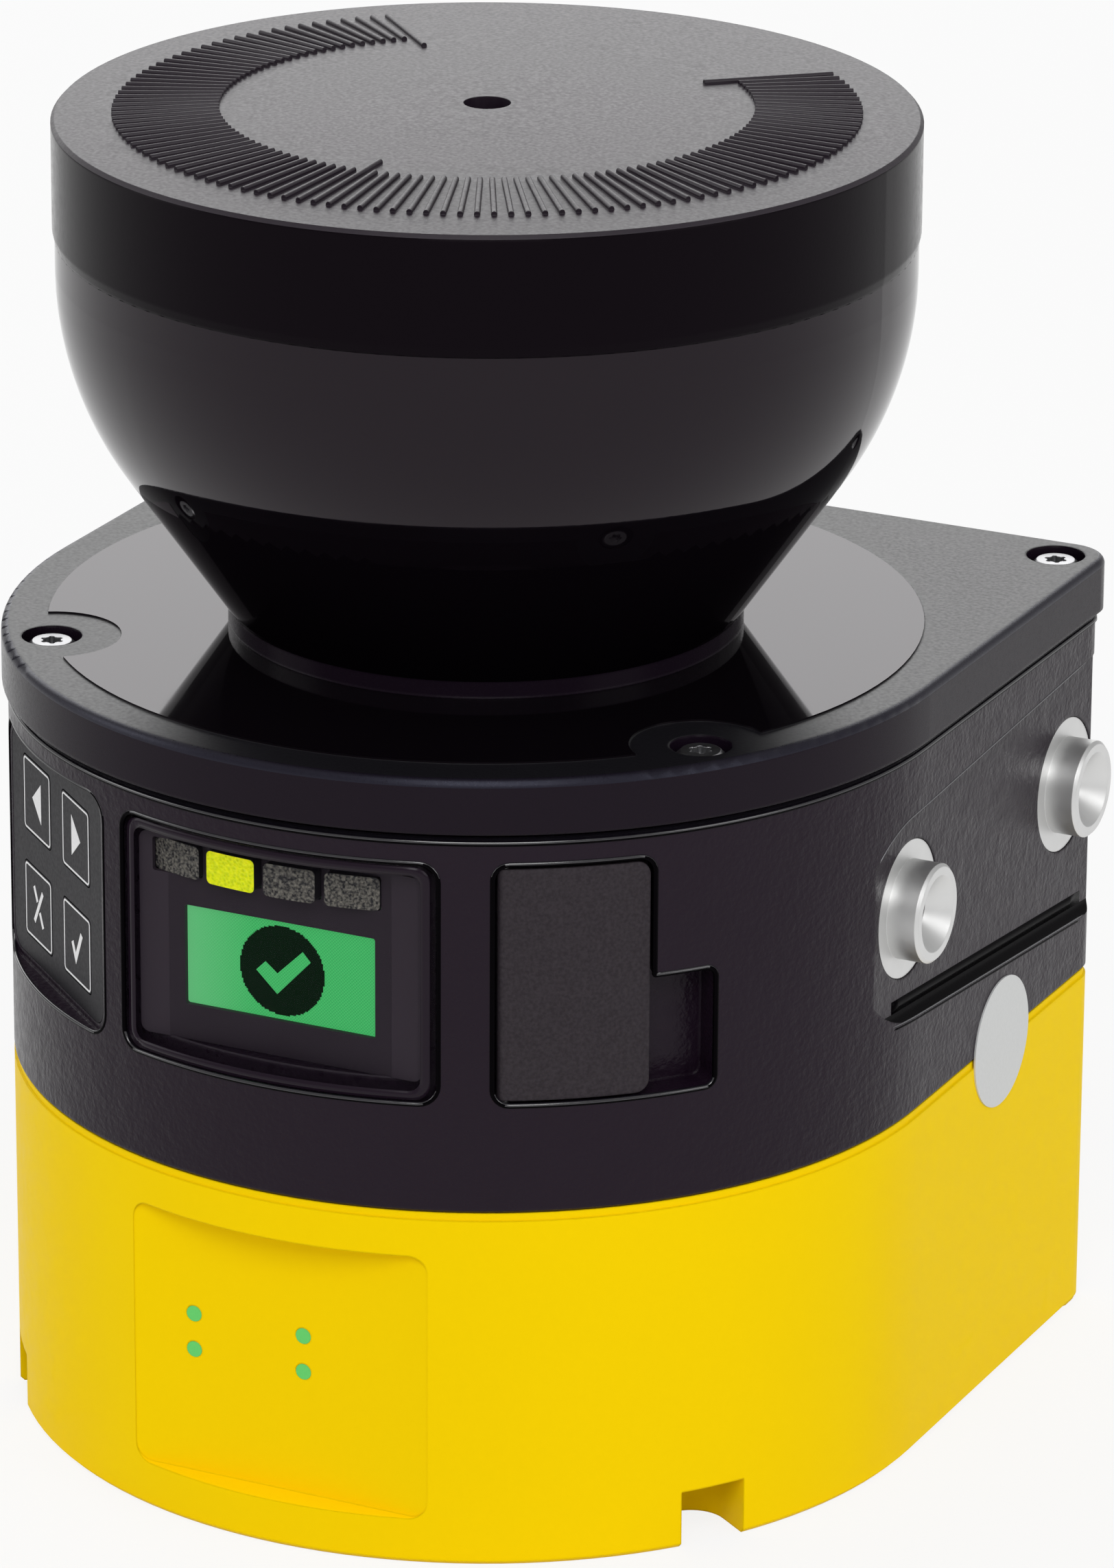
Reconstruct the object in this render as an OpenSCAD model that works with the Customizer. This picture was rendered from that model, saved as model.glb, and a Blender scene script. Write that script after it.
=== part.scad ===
// Safety laser scanner: a D-shaped base and housing, a bowl-shaped optics hood on a narrow neck,
// a ribbed head cap, a display with four lights, a four-key pad, a hinged port cover and a
// spinning 45 degree mirror inside. Front is -Y, right is +X, and the head's axis is the Z axis.

/* [Plan] */
// Radius of the round front and half the width of the body
body_r = 55.3; // [54.5:0.1:57]
// Distance from the head's axis to the rear face of the body
body_back = 54.6; // [53.8:0.1:58]
// Radius of the two upright rear corners
corner_r = 5; // [4.8:0.1:6]
// How far the hood's flange stands proud of the body
flange_proud = 0.7; // [0.3:0.1:1.2]

/* [Heights] */
// Height of the base
base_h = 43.1; // [41:0.1:50]
// Height of the sensor housing
housing_h = 44.7; // [43.5:0.1:50]
// Thickness of the seal under the hood
seal_t = 0.6; // [0.4:0.1:1]
// Thickness of the hood's flange
flange_h = 6.4; // [6:0.1:8]
// Height of the polished disc on the flange
disc_t = 0.2; // [0.1:0.05:0.4]
// Height of the upright neck above the disc
neck_h = 2; // [1.5:0.1:4]
// Height of the upright wall between the bowl and the cap
collar_h = 3.7; // [3.5:0.1:6]
// Height of the cap's upright band
band_h = 13.85; // [13:0.05:16]
// Rise of the cap's domed top
dome_h = 1.25; // [0.8:0.05:2]

/* [Head] */
// Radius of the head cap
head_r = 49.4; // [48.6:0.1:50.2]
// Radius of the neck
waist_r = 29.8; // [29.3:0.1:31]
// Slope of the window cone from upright
cone_angle = 35; // [33:0.5:36]
// Radius of the bowl's curved section
bowl_arc_r = 39.8; // [38:0.1:41]
// Wall of the hood
hood_wall = 2.2; // [1.8:0.1:2.4]
// Radius of the polished disc on the flange
disc_r = 50.6; // [49.5:0.1:51]

/* [Cap ribs] */
// Number of short ribs round the cap
rib_count = 111; // [37:2:111]
// Angle that the ribs span
rib_span = 275; // [200:5:280]
// Radius of the ribs' inner ends
rib_in_r = 30.3; // [29:0.1:32]
// Radius of the ribs' outer ends
rib_out_r = 42.5; // [41:0.1:43.5]
// Width of a rib
rib_w = 0.65; // [0.5:0.05:0.8]
// Height of a rib
rib_h = 0.45; // [0.4:0.05:0.8]
// Extra inward length of the three marker ribs
marker_len = 3.8; // [2:0.1:6]
// Radius of the hole in the middle of the cap
vent_r = 2.7; // [2.4:0.1:3.2]

/* [Walls and clearances] */
// Wall of the base
base_wall = 3; // [2.8:0.1:3.2]
// Wall of the sensor housing
housing_wall = 4.5; // [4.3:0.1:4.6]
// Thickness of the decks inside the housing
deck_t = 3; // [2.5:0.1:3.5]
// Gap round pieces that drop into a pocket
fit_gap = 0.1; // [0.05:0.05:0.15]
// Radial clearance of turning shafts and pins
run_gap = 0.04; // [0.03:0.01:0.06]

/* [Display] */
// Width of the display opening across its chord
window_w = 39.6; // [38.5:0.1:40.4]
// Height of the display opening, the keypad and the port pocket
aperture_h = 28.4; // [28:0.1:29]
// Distance from the top of the sensor housing down to the middle of the three front openings
aperture_down = 17.4; // [17.2:0.1:18.5]
// Thickness of the window
window_t = 1.9; // [1.7:0.1:2]
// Gap round the window
window_gap = 0.35; // [0.2:0.05:0.5]

/* [Keypad] */
// Side of a square key
key_side = 9; // [8.4:0.1:9.6]
// Distance between key centres
key_pitch = 13; // [12.4:0.1:13.4]
// Gap round a key
key_gap = 0.15; // [0.1:0.05:0.2]
// Travel of a key
key_travel = 0.4; // [0.3:0.05:0.45]

/* [Port] */
// Width of the port pocket
pocket_w = 18.1; // [17.6:0.1:18.6]
// Width of the finger recess beside the port cover
finger_w = 7.7; // [7:0.1:8]
// Height of the finger recess
finger_h = 14.2; // [12:0.1:16]
// Radius of the port cover's hinge pin
pin_r = 0.5; // [0.4:0.05:0.6]

/* [Mounting] */
// Distance from the top of the sensor housing down to the side mounting bushes
bush_down = 19.6; // [18:0.1:20.5]
// Distance between the two bushes on a side
bush_pitch = 46; // [44:0.5:47]
// Radius of a bush
bush_r = 5.8; // [5.6:0.1:6.2]
// How far the bush stands out of its recess
bush_proud = 3.7; // [3:0.1:4.5]
// Radius of the tapped hole
tap_r = 2.1; // [2:0.05:2.5]
// Length of the tapped hole
tap_l = 7.5; // [7:0.1:8]
// Depth of the flat recess on each side
side_depth = 1; // [0.8:0.1:1.2]

/* [Rear connectors] */
// Distance between connector centres
plug_pitch = 24; // [22:0.5:25]
// Outer radius of a connector's threaded shell
plug_r = 6; // [5.8:0.1:6.2]
// Length of a connector outside its panel
plug_l = 12; // [10:0.5:13]
// Depth of the connector bay
bay_depth = 20.6; // [20:0.1:22]

/* [Hidden] */
$fn = 96;

// Overlap that lets a cutter run past a face
past = 1;

// Heights of the stack, from the floor up
z_joint = base_h;
z_deck = base_h + housing_h;
z_flange = z_deck + seal_t;
z_disc = z_flange + flange_h + disc_t;
z_waist = z_disc + neck_h;

// Section of the bowl: an arc that runs tangent into the window cone
bowl_lip = 0.25;
bowl_r = head_r - bowl_lip;
arc_x = bowl_r - bowl_arc_r;
tangent_r = arc_x + bowl_arc_r * cos(cone_angle);
z_tangent = z_waist + (tangent_r - waist_r) / tan(cone_angle);
z_arc = z_tangent + bowl_arc_r * sin(cone_angle);
z_band = z_arc + collar_h;
z_rim = z_band + band_h;
spigot_w = 2.2;
spigot_h = 3;

// Plan of the flange
flange_r = body_r + flange_proud;
flange_back = body_back + flange_proud;
flange_round = 0.9;
flange_edge_w = 4;

// Screws through the four corners, the same above and below
front_screw_angle = 54.6;
screw_inset = 4.9;
front_screw_r = body_r - screw_inset;
front_screw_x = front_screw_r * sin(front_screw_angle);
front_screw_y = -front_screw_r * cos(front_screw_angle);
screw_places = [
    [front_screw_x, front_screw_y], [-front_screw_x, front_screw_y],
    [body_r - screw_inset, body_back - screw_inset],
    [-(body_r - screw_inset), body_back - screw_inset]];
// Direction in which each screw's slot in the base opens
slot_angles = [front_screw_angle - 90, -90 - front_screw_angle, 90, 90];
screw_shank_r = 1.5;
screw_head_r = 2.75;
screw_head_h = 2.2;
head_pocket_r = 3.5;
head_pocket_d = 2.7;
cutout_r = 8;
pillar_r = 5;
cover_screw_l = 9;
base_head_r = 3.2;
base_head_h = 3;
base_pocket_r = 4.05;
base_pocket_h = 9;
slot_h = 6.9;
base_screw_top = z_joint + 10;

// Front openings share one height
z_aperture = z_deck - aperture_down;
window_ledge = 2;
window_round = 2.2;
lens_r = body_r - 0.1;
lcd_w = 24.4;
lcd_h = 12.4;
lcd_depth = 4.5;
lcd_t = 3.8;
z_lcd = z_aperture - 1.9;
light_w = 6.3;
light_h = 3.9;
light_step = 8.05;
light_shift = -1.8;
z_light = z_aperture + 9.5;
board_t = 1.6;

// Keypad plane: its direction from the front and distance from the axis
key_angle = -41;
key_flat = body_r - 2.3;
keypad_w = 31.4;
panel_w = 29.6;
panel_t = 1.2;
panel_lip = 0.6;
key_back_t = 0.6;
key_back_w = 1.2;
stem_r = 1.5;
stem_l = 1.3;
switch_gap = 0.1;
switch_h = 1.8;
key_names = ["previous", "next", "cancel", "confirm"];
key_grid = [[-0.5, 0.5], [0.5, 0.5], [-0.5, -0.5], [0.5, -0.5]];

// Port pocket and its cover
port_angle = 36.8;
finger_angle = 50;
pocket_floor = body_r - 3.9;
cover_gap = 0.5;
cover_round = 1.6;
hinge_r = 0.9;
cover_w = pocket_w - 2 * cover_gap;
cover_h = aperture_h - 2 * cover_gap;
cover_skin = body_r - 0.05;
cover_floor = pocket_floor + 0.9;
hinge_t = -cover_w / 2 + hinge_r;
hinge_d = sqrt(pow(cover_skin, 2) - pow(hinge_t, 2)) - hinge_r;
pin_seat = 0.8;
socket_w = 7.8;
socket_h = 4.3;
socket_l = 10;
socket_wall = 0.3;

// Side recess with the mounting bushes
bush_y = -1.2;
z_bush = z_deck - bush_down;
side_plane = body_r - side_depth;
recess_up = 11.75;
recess_down = 13.1;
recess_r = (recess_up + recess_down) / 2;
recess_rise = 3.2;
recess_fall = 5.4;
ledge_r = 1.8;
spot_r = 8.2;
spot_depth = 0.5;
spot_flange = 0.4;
shank_r = 5;
bush_chamfer = 2.5;
bush_end = 1.4;
bush_total = spot_depth + bush_proud;
shank_l = tap_l + bush_chamfer + bush_end - bush_total;
bush_edge = 0.35;
bush_mouth_r = bush_r - 1.3;
boss_floor = 1.6;
boss_x = side_plane - spot_depth - shank_l - boss_floor;

// Flat light panel in the front of the base
panel_plane = 3.3;
light_panel_w = 37.4;
light_panel_low = 5.5;
light_panel_high = 37.7;
status_r = 0.95;
status_x = [-11, 3];
status_z = [20.6, 25];

// Connector bay at the rear of the base
bay_w = 76;
bay_low = 6;
bay_high = 38;
z_plug = 22;
bay_y = body_back - bay_depth;
bay_wall = 3;
plug_neck_r = 5.2;
plug_collar_r = 7.4;
plug_collar_t = 2;
plug_bore_r = 4.7;
insert_t = 4;
nut_t = 2.4;
nut_r = 7.6;
contact_r = 0.5;

// Spindle and mirror
shaft_r = 3;
case_r = 17;
case_wall = 2;
case_h = 23.8;
bearing_seat_r = 8;
lower_seat_r = 6.5;
bearing_t = 4;
stator_t = 4;
stator_h = 14;
air_gap = 0.4;
rotor_h = 12;
mirror_r = 17;
mirror_t = 2;
z_mirror = z_waist + 17;
receiver_t = 1.6;
z_receiver = z_band - 2;
cap_top_t = 2.75;

// ---------- outlines and sweeps ----------

// D-shaped outline: half a circle in front, square behind with round corners
module d_outline(r, back, corner) {
    intersection() {
        circle(r);
        translate([-r - past, -r - past]) square([2 * (r + past), r + past]);
    }
    translate([-r, 0]) square([2 * r, back - corner]);
    translate([-r + corner, 0]) square([2 * (r - corner), back]);
    translate([-r / 2, -r / 2]) square(r);
    for (side = [-1, 1])
        translate([side * (r - corner), back - corner]) circle(corner);
}

// Sweeps a section round the D-shaped outline; x = 0 of the section lies on the outline
module d_sweep(r, back, corner) {
    rotate([0, 0, 180]) rotate_extrude(angle = 180) translate([r, 0]) children();
    for (side = [0, 1]) mirror([side, 0, 0]) {
        translate([r - corner, back - corner, 0])
            rotate_extrude(angle = 90) translate([corner, 0]) children();
        translate([r, back - corner, 0])
            rotate([90, 0, 0]) linear_extrude(back - corner) children();
    }
    translate([corner - r, back, 0])
        rotate([90, 0, 90]) linear_extrude(2 * (r - corner)) children();
}

// Rectangle about its centre with round corners
module round_rect(w, h, r) {
    square([w - 2 * r, h], center = true);
    square([w, h - 2 * r], center = true);
    for (x = [-1, 1], y = [-1, 1])
        translate([x * (w / 2 - r), y * (h / 2 - r)]) circle(r, $fn = 32);
}

// Puts an outline on a plane that faces outwards at an angle from the front, from one
// distance from the axis to another; the outline's x runs right and its y runs up
module facing(angle, from, to, z) {
    rotate([0, 0, angle]) translate([0, -from, z])
        rotate([90, 0, 0]) linear_extrude(to - from) children();
}

// Lays a solid drawn along +Z so that it points out of the right or left side
module on_side(side, x, y, z) {
    translate([side * x, y, z]) rotate([0, side * 90, 0]) children();
}

// Lays a solid drawn along +Z so that it points out of the rear
module on_rear(x, y, z) {
    translate([x, y, z]) rotate([-90, 0, 0]) children();
}

module at_screws() {
    for (place = screw_places) translate([place[0], place[1], 0]) children();
}

// Six-lobed drive recess
module drive(depth) {
    translate([0, 0, -depth]) linear_extrude(depth + past) {
        circle(drive_r * 0.76, $fn = 32);
        for (k = [0:5]) rotate(60 * k)
            translate([drive_r * 0.76, 0]) circle(drive_r * 0.24, $fn = 16);
    }
}
drive_r = 1.35;

// ---------- base ----------

module base_wall_section() {
    difference() {
        translate([-base_wall, 0]) square([base_wall, base_h]);
        translate([-top_step, base_h - top_step_h]) square([base_wall, base_h]);
        rotate(-45) square(base_edge * sqrt(2), center = true);
    }
}
top_step = 0.25;
top_step_h = 0.9;
base_edge = 0.5;
gasket_in = 1.9;
gasket_w = 1.1;
gasket_d = 1;

module base_cavity() {
    intersection() {
        translate([0, 0, base_wall]) linear_extrude(base_h)
            d_outline(body_r - base_wall, bay_y - bay_wall, 1);
        translate([-body_r, -(body_r - panel_plane - bay_wall), 0])
            cube([2 * body_r, 2 * body_r, 2 * base_h]);
    }
    for (side = [-1, 1])
        translate([side * (bay_w / 2 + bay_wall + 4) - 4, bay_y - bay_wall - past, base_wall])
            cube([8, 9, base_h]);
}

module base_slots() {
    at_screws() {
        translate([0, 0, -past]) cylinder(r = base_pocket_r, h = base_pocket_h + past);
        cylinder(r = screw_shank_r + fit_gap, h = base_h + past);
    }
    for (i = [0:3]) translate([screw_places[i][0], screw_places[i][1], 0])
        rotate([0, 0, slot_angles[i]]) translate([0, -base_pocket_r, -past])
            cube([2 * pillar_r, 2 * base_pocket_r, slot_h + past]);
}

module connector_bay() {
    translate([-bay_w / 2, bay_y, bay_low])
        cube([bay_w, bay_depth + past, bay_high - bay_low]);
    for (i = [-1:1]) on_rear(i * plug_pitch, bay_y - bay_wall - past, z_plug)
        cylinder(r = plug_neck_r + fit_gap, h = bay_wall + 2 * past);
}

module base_housing() {
    color("gold") difference() {
        union() {
            difference() {
                union() {
                    d_sweep(body_r, body_back, corner_r) base_wall_section();
                    translate([0, 0, 0]) linear_extrude(base_h - top_step_h)
                        d_outline(body_r - base_wall, body_back - base_wall, corner_r - base_wall);
                }
                base_cavity();
            }
            intersection() {
                at_screws() cylinder(r = pillar_r, h = base_h);
                linear_extrude(base_h)
                    d_outline(body_r - top_step, body_back - top_step, corner_r - top_step);
            }
        }
        base_slots();
        connector_bay();
        facing(0, body_r - panel_plane, body_r + past, (light_panel_low + light_panel_high) / 2)
            round_rect(light_panel_w, light_panel_high - light_panel_low, 2.2);
        for (x = status_x, z = status_z)
            facing(0, body_r - panel_plane - bay_wall - past, body_r, z)
                translate([x, 0]) circle(status_r + 0.02);
        d_sweep(body_r, body_back, corner_r)
            translate([-gasket_in - gasket_w / 2, base_h - gasket_d]) square([gasket_w, gasket_d + past]);
    }
}

module base_gasket() {
    color("dimgray") d_sweep(body_r, body_back, corner_r)
        translate([-gasket_in - gasket_w / 2, base_h - gasket_d]) square([gasket_w, gasket_d]);
}

module base_screws() {
    color("silver") at_screws() {
        translate([0, 0, base_pocket_h - base_head_h]) difference() {
            cylinder(r = base_head_r, h = base_head_h);
            mirror([0, 0, 1]) drive(1.5);
        }
        translate([0, 0, base_pocket_h - 0.01])
            cylinder(r = screw_shank_r, h = base_screw_top - base_pocket_h);
    }
}

module status_lights() {
    color("limegreen") for (x = status_x, z = status_z)
        facing(0, body_r - panel_plane - bay_wall - 0.2, body_r - panel_plane, z)
            translate([x, 0]) circle(status_r);
}

module seal_disc() {
    color("silver") on_side(1, body_r, 24.7, z_joint - 0.2) cylinder(r = 7.9, h = 0.2);
}

// ---------- rear connectors ----------

module connector_shell(i) {
    color("silver") on_rear((i - 2) * plug_pitch, bay_y, z_plug) difference() {
        union() {
            translate([0, 0, -bay_wall - nut_t - 1.2])
                cylinder(r = plug_neck_r, h = bay_wall + nut_t + 1.2 + past);
            cylinder(r = plug_collar_r, h = plug_collar_t);
            cylinder(r = plug_r, h = plug_l - 0.6);
            translate([0, 0, plug_l - 0.6]) cylinder(r1 = plug_r, r2 = plug_r - 0.5, h = 0.6);
        }
        translate([0, 0, -bay_wall - nut_t - 1.2 - past])
            cylinder(r = plug_bore_r, h = bay_wall + nut_t + plug_l + 4 * past);
    }
}

// The outer two are sockets with an insert level with the rim; the middle one has bare pins
module connector_insert(i) {
    face = (i == 2) ? insert_t : plug_l - 1;
    color("#202020") on_rear((i - 2) * plug_pitch, bay_y, z_plug) difference() {
        translate([0, 0, -bay_wall - nut_t]) cylinder(r = plug_bore_r, h = face + bay_wall + nut_t);
        contacts(i) translate([0, 0, -bay_wall - nut_t - past])
            cylinder(r = contact_r, h = face + bay_wall + nut_t + 2 * past, $fn = 16);
    }
}

module contacts(i) {
    count = (i == 2) ? 8 : 4;
    pcd = (i == 2) ? 5.5 : 4;
    for (k = [0:count - 1])
        rotate([0, 0, k * 360 / count]) translate([pcd / 2, 0, 0]) children();
}

module connector_pins(i) {
    tip = (i == 2) ? plug_l - 2 : plug_l - 4;
    color("goldenrod") on_rear((i - 2) * plug_pitch, bay_y, z_plug) contacts(i)
        translate([0, 0, -bay_wall - nut_t - 2.5])
            cylinder(r = contact_r, h = tip + bay_wall + nut_t + 2.5, $fn = 16);
}

module connector_nuts() {
    color("silver") for (i = [-1:1])
        on_rear(i * plug_pitch, bay_y - bay_wall - nut_t, z_plug) difference() {
            cylinder(r = nut_r, h = nut_t, $fn = 6);
            translate([0, 0, -past]) cylinder(r = plug_neck_r, h = nut_t + 2 * past);
        }
}

module network_board() {
    w = 36;
    h = 33;
    color("darkgreen")
        facing(0, body_r - panel_plane - bay_wall - 0.2 - board_t,
            body_r - panel_plane - bay_wall - 0.2, base_wall + h / 2 + 0.1)
            square([w, h], center = true);
}

// ---------- sensor housing ----------

housing_edge = 0.4;
deck_hole_r = 40;
link_w = 26;
link_d = 11;
link_gap = 0.6;
hood_seal_in = screw_inset - screw_shank_r - 0.3;
board_post = 4;

module housing_wall_section() {
    difference() {
        translate([-housing_wall, z_joint]) square([housing_wall, housing_h]);
        translate([0, z_joint]) rotate(-45) square(housing_edge * sqrt(2), center = true);
        translate([0, z_deck]) rotate(-45) square(housing_edge * sqrt(2), center = true);
    }
}

// Flat recess in a side wall: its round front end lies about the front bush, it widens towards
// the rear, and a hollow ledge runs along its lower edge
module side_recess(side) {
    length = body_back + past - bush_y;
    line_r = 0.999 * recess_r;
    ledge_x = side_plane + 0.97 * ledge_r;
    ledge_z = sqrt(ledge_r * ledge_r - (body_r - ledge_x) * (body_r - ledge_x)) - recess_r;
    mirror([side > 0 ? 0 : 1, 0, 0]) translate([0, bush_y, z_bush + recess_up - recess_r])
        intersection() {
            rotate([90, 0, 90]) linear_extrude(body_r + past) {
                circle(recess_r);
                polygon([[-line_r * sin(recess_rise), line_r * cos(recess_rise)],
                    [length, line_r / cos(recess_rise) + length * tan(recess_rise)],
                    [length, -recess_r - 1 - length * tan(recess_fall)],
                    [0, -recess_r - 1]]);
            }
            rotate([-recess_fall, 0, 0]) translate([0, 2 * length, 0])
                rotate([90, 0, 0]) linear_extrude(3 * length) intersection() {
                    translate([side_plane, -2 * recess_r]) square([side_depth + past, 6 * recess_r]);
                    union() {
                        translate([ledge_x, ledge_z]) circle(ledge_r);
                        translate([0, ledge_z]) square([body_r + past, 4 * recess_r]);
                    }
                }
        }
}

module window_opening() {
    difference() {
        facing(0, 0, body_r + past, z_aperture) round_rect(window_w, aperture_h, window_round);
        cylinder(r = lens_r - window_t, h = 2 * z_deck);
    }
    facing(0, body_r - 8, body_r, z_aperture)
        round_rect(window_w - 2 * window_ledge, aperture_h - 2 * window_ledge, 1.2);
}

module keypad_opening() {
    hole = key_pitch + key_side + 2 * key_back_w + 0.6;
    facing(key_angle, key_flat, body_r + past, z_aperture) round_rect(keypad_w, aperture_h + 0.6, 3);
    facing(key_angle, key_flat - panel_t, body_r, z_aperture)
        round_rect(panel_w + 2 * fit_gap, aperture_h - 2 * panel_lip + 2 * fit_gap, 2.4);
    facing(key_angle, key_flat - 8, body_r, z_aperture) square([hole, hole], center = true);
}

module port_opening() {
    facing(port_angle, pocket_floor, body_r + past, z_aperture) round_rect(pocket_w, aperture_h, 1.8);
    facing(finger_angle, pocket_floor, body_r + past, z_aperture - (aperture_h - finger_h) / 2)
        translate([(finger_w - 5.5 - finger_w / 2) / 2, 0])
            round_rect(finger_w / 2 + 5.5, finger_h, 1.2);
    facing(port_angle, pocket_floor - 6, body_r, z_aperture)
        square([socket_w + 2 * fit_gap, socket_h + 2 * fit_gap], center = true);
    rotate([0, 0, port_angle]) translate([hinge_t, -hinge_d, z_aperture - aperture_h / 2 - pin_seat])
        cylinder(r = pin_r, h = aperture_h + 2 * pin_seat);
}

// Thick part of the wall behind the port pocket
module port_pad() {
    pad_r = pocket_floor - 2.6;
    translate([0, 0, z_joint + 8]) rotate([0, 0, port_angle - 13 - 90])
        rotate_extrude(angle = 35) translate([pad_r, 0])
            square([body_r - housing_wall - pad_r + 0.3, housing_h - 8 - deck_t / 2]);
}

module housing_decks() {
    difference() {
        union() {
            for (z = [z_joint, z_deck - deck_t]) translate([0, 0, z]) linear_extrude(deck_t)
                d_outline(body_r - housing_wall, body_back - housing_wall, corner_r - housing_wall);
            for (x = [-1, 1], y = [-1, 1])
                translate([x * 30, y * 24, z_joint]) cylinder(r = 3, h = deck_t + board_post);
        }
        translate([0, 0, z_deck - deck_t - past]) cylinder(r = deck_hole_r, h = deck_t + 2 * past);
        translate([-link_w / 2 - link_gap, -link_d / 2 - link_gap, z_joint - past])
            cube([link_w + 2 * link_gap, link_d + 2 * link_gap, deck_t + 2 * past]);
    }
}

module sensor_housing() {
    color("#1b1a1e") difference() {
        union() {
            d_sweep(body_r, body_back, corner_r) housing_wall_section();
            housing_decks();
            port_pad();
            intersection() {
                translate([0, 0, z_joint]) at_screws() cylinder(r = pillar_r, h = housing_h);
                translate([0, 0, z_joint]) linear_extrude(housing_h)
                    d_outline(body_r - 0.5, body_back - 0.5, corner_r - 0.5);
            }
            for (side = [-1, 1], k = [0, 1])
                on_side(side, boss_x, bush_y + k * bush_pitch, z_bush)
                    cylinder(r = shank_r + 2.5, h = side_plane - boss_x - past);
        }
        side_recess(1);
        side_recess(-1);
        window_opening();
        keypad_opening();
        port_opening();
        for (side = [-1, 1], k = [0, 1]) {
            on_side(side, side_plane - spot_depth, bush_y + k * bush_pitch, z_bush)
                cylinder(r = spot_r, h = 2 * spot_depth);
            on_side(side, side_plane - spot_depth - shank_l, bush_y + k * bush_pitch, z_bush)
                cylinder(r = shank_r, h = shank_l + past);
        }
        at_screws() {
            translate([0, 0, z_joint - past])
                cylinder(r = screw_shank_r, h = base_screw_top - z_joint + past + 0.5);
            translate([0, 0, z_deck - 5]) cylinder(r = screw_shank_r, h = 5 + past);
        }
    }
}

// Threaded bush with a thin flange, a countersunk mouth and a blind end
module side_bush(side, k) {
    color("silver") on_side(side, side_plane - spot_depth - shank_l, bush_y + k * bush_pitch, z_bush)
        difference() {
            union() {
                cylinder(r = shank_r, h = shank_l + past);
                translate([0, 0, shank_l]) cylinder(r = spot_r - fit_gap, h = spot_flange);
                translate([0, 0, shank_l]) cylinder(r = bush_r, h = bush_total - bush_edge);
                translate([0, 0, shank_l + bush_total - bush_edge])
                    cylinder(r1 = bush_r, r2 = bush_r - bush_edge, h = bush_edge);
            }
            translate([0, 0, bush_end]) cylinder(r = tap_r, h = tap_l + bush_chamfer + past);
            translate([0, 0, bush_end + tap_l])
                cylinder(r1 = tap_r, r2 = bush_mouth_r, h = bush_chamfer);
        }
}

module hood_gasket() {
    color("#101010") translate([0, 0, z_deck]) d_sweep(body_r, body_back, corner_r)
        translate([-hood_seal_in, 0]) square([hood_seal_in - 0.9, seal_t]);
}

// ---------- display, keypad and port ----------

module display_window() {
    color("#181a20", 0.6) intersection() {
        difference() {
            cylinder(r = lens_r, h = 2 * z_deck);
            translate([0, 0, -past]) cylinder(r = lens_r - window_t, h = 2 * z_deck + 2 * past);
        }
        facing(0, 0, body_r + past, z_aperture)
            round_rect(window_w - 2 * window_gap, aperture_h - 2 * window_gap, window_round - window_gap);
    }
}

module lcd_panel() {
    color("mediumseagreen") facing(0, body_r - lcd_depth - lcd_t, body_r - lcd_depth, z_lcd)
        square([lcd_w, lcd_h], center = true);
}

module light_lens(i) {
    color(i == 2 ? "yellowgreen" : "#35363a") intersection() {
        facing(0, body_r - lcd_depth - lcd_t, body_r, z_light)
            translate([(body_r - window_t) * sin((i - 2.5) * light_step + light_shift), 0])
                round_rect(light_w, light_h, 0.6);
        cylinder(r = lens_r - window_t - 0.1, h = 2 * z_deck);
    }
}

module display_board() {
    color("darkgreen")
        facing(0, body_r - lcd_depth - lcd_t - board_t, body_r - lcd_depth - lcd_t, z_aperture)
            square([window_w - 2 * window_ledge - 0.6, aperture_h - 0.6], center = true);
}

module keypad_panel() {
    color("#3a3b40") facing(key_angle, key_flat - panel_t, key_flat - 0.02, z_aperture) difference() {
        round_rect(panel_w, aperture_h - 2 * panel_lip, 2.3);
        for (k = [0:3]) translate(key_pitch * key_grid[k])
            round_rect(key_side + 2 * key_gap, key_side + 2 * key_gap, 0.8);
    }
}

module key(k) {
    back = key_flat - panel_t - 0.05;
    color("#3a3b40") {
        facing(key_angle, back - key_back_t, key_flat, z_aperture)
            translate(key_pitch * key_grid[k]) round_rect(key_side, key_side, 0.7);
        facing(key_angle, back - key_back_t, back, z_aperture) translate(key_pitch * key_grid[k])
            square([key_side + key_back_w, key_side + key_back_w], center = true);
        facing(key_angle, back - key_back_t - stem_l, back, z_aperture)
            translate(key_pitch * key_grid[k]) circle(stem_r);
    }
}

module keypad_board() {
    face = key_flat - panel_t - 0.05 - key_back_t - stem_l - key_travel - switch_gap;
    color("darkgreen") {
        facing(key_angle, face - switch_h - board_t, face - switch_h, z_aperture)
            square([24.4, 24], center = true);
        for (k = [0:3]) facing(key_angle, face - switch_h - 0.01, face, z_aperture)
            translate(key_pitch * key_grid[k]) circle(2.6);
    }
}

module port_cover() {
    color("#242428") difference() {
        union() {
            intersection() {
                cylinder(r = cover_skin, h = 2 * z_deck);
                facing(port_angle, cover_floor, body_r + past, z_aperture)
                    intersection() {
                        round_rect(cover_w, cover_h, cover_round);
                        translate([hinge_t, -cover_h]) square([cover_w, 2 * cover_h]);
                    }
            }
            rotate([0, 0, port_angle]) translate([hinge_t, -hinge_d, z_aperture - cover_h / 2])
                cylinder(r = hinge_r, h = cover_h);
        }
        rotate([0, 0, port_angle]) translate([hinge_t, -hinge_d, z_aperture - cover_h])
            cylinder(r = pin_r + run_gap, h = 2 * cover_h);
    }
}

module port_hinge_pin() {
    color("silver") rotate([0, 0, port_angle])
        translate([hinge_t, -hinge_d, z_aperture - aperture_h / 2 - pin_seat])
            cylinder(r = pin_r, h = aperture_h + 2 * pin_seat);
}

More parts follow.
